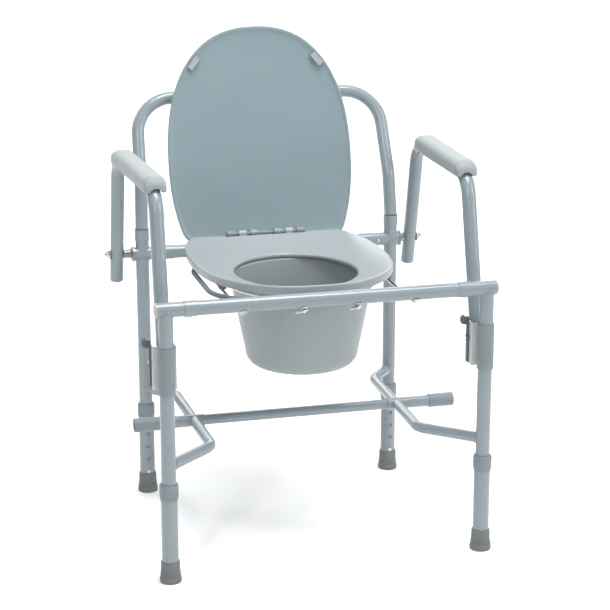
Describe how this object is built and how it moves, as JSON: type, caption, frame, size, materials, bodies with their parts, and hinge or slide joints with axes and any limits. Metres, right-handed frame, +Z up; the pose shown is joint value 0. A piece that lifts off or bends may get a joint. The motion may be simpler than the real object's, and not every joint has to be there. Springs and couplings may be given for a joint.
{
  "type": "commode chair",
  "caption": "Steel-tube commode chair with swing-down arms, raised lid, oval seat ring, hanging pail and height-adjustable legs.",
  "frame": {"origin": "on the floor, under the middle of the chair's bounding box", "axes": "+Z up, the chair faces -Y, +X is to the right of someone who looks at its front"},
  "size_m": [0.6267, 0.5397, 0.8774],
  "materials": {
    "steel_paint": "gloss",
    "collar_plastic": "satin",
    "rubber": "matte",
    "zinc_steel": "bright",
    "cap_plastic": "gloss",
    "pad_plastic": "matte",
    "grey_plastic": "satin",
    "plated_nut": "polished",
    "spacer_steel": "satin",
    "dark_plastic": "satin",
    "seat_plastic": "gloss",
    "lid_plastic": "satin",
    "pail_plastic": "satin"
  },
  "bodies": {
    "frame": {"front_post_left": "steel_paint", "front_post_right": "steel_paint", "back_post_left": "steel_paint", "back_post_right": "steel_paint", "snap_buttons": "zinc_steel", "front_stub_left": "steel_paint", "front_stub_right": "steel_paint", "back_stub_left": "steel_paint", "back_stub_right": "steel_paint", "front_crossbar": "steel_paint", "front_ferrules": "steel_paint", "back_crossbar": "steel_paint", "back_ferrules": "steel_paint", "stub_end_caps": "cap_plastic", "side_brace_left": "steel_paint", "side_brace_right": "steel_paint", "lower_stubs": "steel_paint", "lower_crossbar": "steel_paint", "lower_end_sleeves": "collar_plastic", "backrest_tube": "steel_paint", "backrest_ferrules": "steel_paint", "pivot_bolts": "plated_nut", "pivot_nuts": "plated_nut", "pivot_spacers": "spacer_steel", "latch_sleeve_left": "collar_plastic", "latch_sleeve_right": "collar_plastic", "latch_housing_left": "collar_plastic", "latch_housing_right": "collar_plastic", "latch_pins": "zinc_steel", "hinge_rod": "zinc_steel", "hinge_brackets": "grey_plastic", "pail": "pail_plastic", "pail_bail": "dark_plastic", "pail_holder": "zinc_steel"},
    "arm_left": {"arm_tube_left": "steel_paint", "arm_pad_left": "pad_plastic", "arm_plugs_left": "grey_plastic"},
    "arm_right": {"arm_tube_right": "steel_paint", "arm_pad_right": "pad_plastic", "arm_plugs_right": "grey_plastic"},
    "lever_left": {"latch_lever_left": "dark_plastic"},
    "lever_right": {"latch_lever_right": "dark_plastic"},
    "seat": {"seat": "seat_plastic", "seat_ears": "seat_plastic", "seat_bumpers": "rubber"},
    "lid": {"lid": "lid_plastic", "lid_ears": "lid_plastic", "lid_bumpers": "rubber"},
    "leg_front_left": {"leg_extension_front_left": "steel_paint", "leg_collar_front_left": "collar_plastic", "foot_tip_front_left": "rubber"},
    "leg_front_right": {"leg_extension_front_right": "steel_paint", "leg_collar_front_right": "collar_plastic", "foot_tip_front_right": "rubber"},
    "leg_back_left": {"leg_extension_back_left": "steel_paint", "leg_collar_back_left": "collar_plastic", "foot_tip_back_left": "rubber"},
    "leg_back_right": {"leg_extension_back_right": "steel_paint", "leg_collar_back_right": "collar_plastic", "foot_tip_back_right": "rubber"}
  },
  "joints": [
    {"name": "arm_drop_left", "type": "hinge", "parent": "frame", "child": "arm_left", "pos_m": [-0.287, 0.2, 0.467], "axis": [1, 0, 0], "range_deg": [0, 72]},
    {"name": "arm_drop_right", "type": "hinge", "parent": "frame", "child": "arm_right", "pos_m": [0.287, 0.2, 0.467], "axis": [1, 0, 0], "range_deg": [0, 72]},
    {"name": "latch_left", "type": "hinge", "parent": "frame", "child": "lever_left", "pos_m": [-0.30085, -0.22, 0.384], "axis": [1, 0, 0], "range_deg": [0, 18], "stiffness_Nm_per_rad": 0.12, "springref_deg": -20.05},
    {"name": "latch_right", "type": "hinge", "parent": "frame", "child": "lever_right", "pos_m": [0.25915, -0.22, 0.384], "axis": [1, 0, 0], "range_deg": [0, 18], "stiffness_Nm_per_rad": 0.12, "springref_deg": -20.05},
    {"name": "seat_lift", "type": "hinge", "parent": "frame", "child": "seat", "pos_m": [-0.008, 0.171, 0.499], "axis": [-1, 0, 0], "range_deg": [0, 92]},
    {"name": "lid_swing", "type": "hinge", "parent": "frame", "child": "lid", "pos_m": [-0.008, 0.171, 0.499], "axis": [-1, 0, 0], "range_deg": [-101, 0]},
    {"name": "leg_length_front_left", "type": "slide", "parent": "frame", "child": "leg_front_left", "axis": [0, 0, -1], "range_m": [0, 0.0762], "deforming": ["snap_buttons"]},
    {"name": "leg_length_front_right", "type": "slide", "parent": "frame", "child": "leg_front_right", "axis": [0, 0, -1], "range_m": [0, 0.0762], "deforming": ["snap_buttons"]},
    {"name": "leg_length_back_left", "type": "slide", "parent": "frame", "child": "leg_back_left", "axis": [0, 0, -1], "range_m": [0, 0.0762], "deforming": ["snap_buttons"]},
    {"name": "leg_length_back_right", "type": "slide", "parent": "frame", "child": "leg_back_right", "axis": [0, 0, -1], "range_m": [0, 0.0762], "deforming": ["snap_buttons"]}
  ]
}
